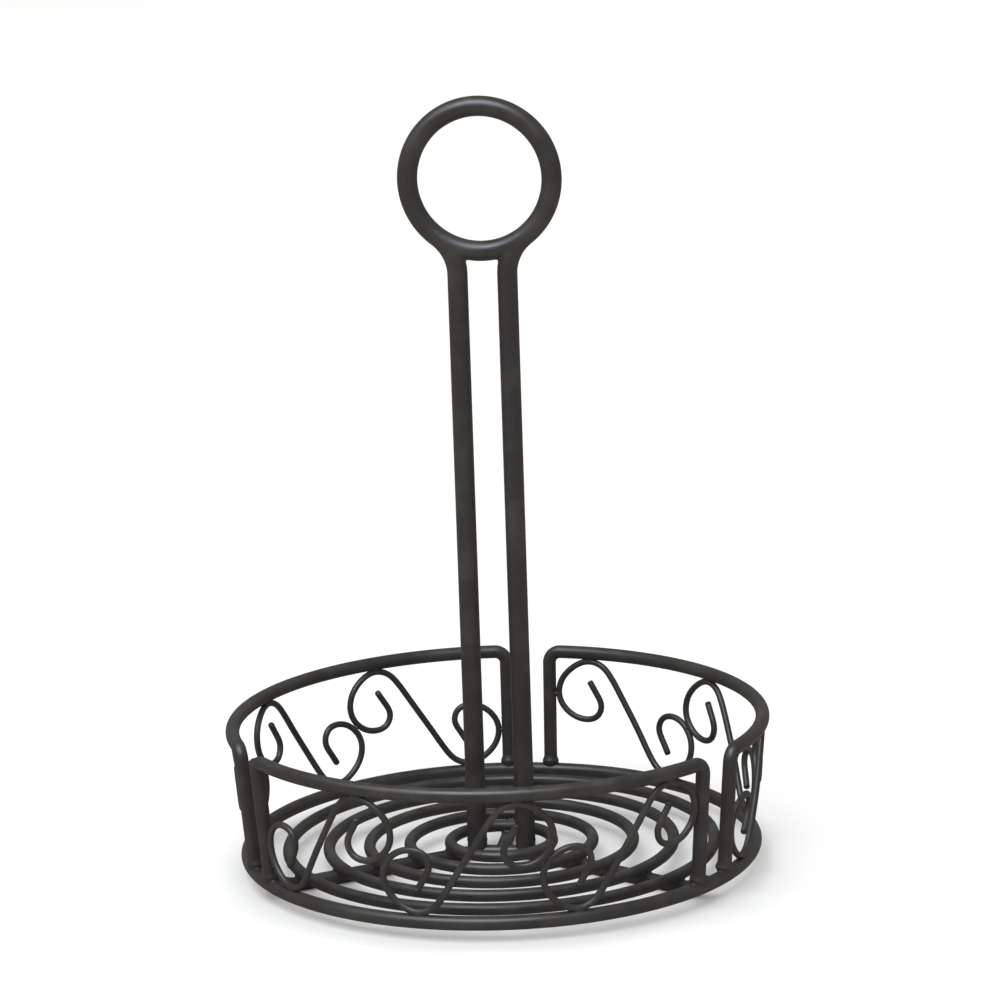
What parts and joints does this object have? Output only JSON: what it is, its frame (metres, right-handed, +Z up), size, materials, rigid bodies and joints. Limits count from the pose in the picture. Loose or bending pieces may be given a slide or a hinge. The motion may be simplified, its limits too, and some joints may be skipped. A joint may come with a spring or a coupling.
{
  "type": "wire caddy",
  "caption": "Round open basket of black wire with scrollwork side panels, a grille base and a tall central handle that ends in a ring grip",
  "frame": {"origin": "on the Z axis of the round basket, at the underside of the base brace, which is where the caddy rests on a table", "axes": "+Z up along the handle, X through the two legs of the handle, -Y towards the front panel, +Y towards the back gap between panels"},
  "size_m": [0.1908, 0.1903, 0.2702],
  "materials": {
    "handle_coat": "semi-gloss black coat",
    "frame_coat": "semi-gloss black coat",
    "ring_coat": "semi-gloss black coat",
    "scroll_coat": "semi-gloss black coat"
  },
  "bodies": {
    "root": {"base_outer_ring": "frame_coat", "base_brace": "frame_coat", "back_spoke": "frame_coat", "left_panel_frame": "frame_coat", "front_panel_frame": "frame_coat", "right_panel_frame": "frame_coat", "base_inner_ring_1": "ring_coat", "base_inner_ring_2": "ring_coat", "base_inner_ring_3": "ring_coat", "base_inner_ring_4": "ring_coat", "base_inner_ring_5": "ring_coat", "left_scroll_1": "scroll_coat", "left_scroll_2": "scroll_coat", "left_scroll_3": "scroll_coat", "front_scroll_1": "scroll_coat", "front_scroll_2": "scroll_coat", "front_scroll_3": "scroll_coat", "right_scroll_1": "scroll_coat", "right_scroll_2": "scroll_coat", "right_scroll_3": "scroll_coat", "handle_rod": "handle_coat", "handle_bridge": "handle_coat"}
  },
  "joints": []
}
